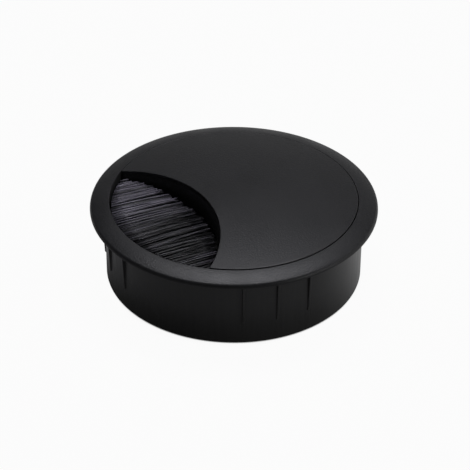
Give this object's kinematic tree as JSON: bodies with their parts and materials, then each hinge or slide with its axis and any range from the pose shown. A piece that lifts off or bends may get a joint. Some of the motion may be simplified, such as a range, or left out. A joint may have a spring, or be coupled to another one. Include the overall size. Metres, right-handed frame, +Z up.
{
  "type": "cable grommet",
  "caption": "Round desk cable grommet: flanged ribbed sleeve, a low domed cover that turns in it, and a brush of parallel bristles across the cover's lens-shaped cable outlet.",
  "frame": {"origin": "centre of the bored hole at the desk's surface, which is the plane of the flange's underside", "axes": "+Z up out of the desk along the hole's axis; -X towards the cable outlet of the cover in its rest position"},
  "size_m": [0.088, 0.088, 0.0286],
  "materials": {
    "liner_plastic": "satin moulded black",
    "cover_plastic": "fine textured moulded black",
    "strip_plastic": "plain black",
    "bristle_filament": "black nylon filament"
  },
  "bodies": {
    "liner": {"liner": "liner_plastic"},
    "cover": {"cover": "cover_plastic", "brush_strip": "strip_plastic", "bristles": "bristle_filament"}
  },
  "joints": [
    {"name": "cover_turn", "type": "hinge", "parent": "liner", "child": "cover", "pos_m": [0, 0, 0], "axis": [0, 0, 1], "continuous": true}
  ]
}
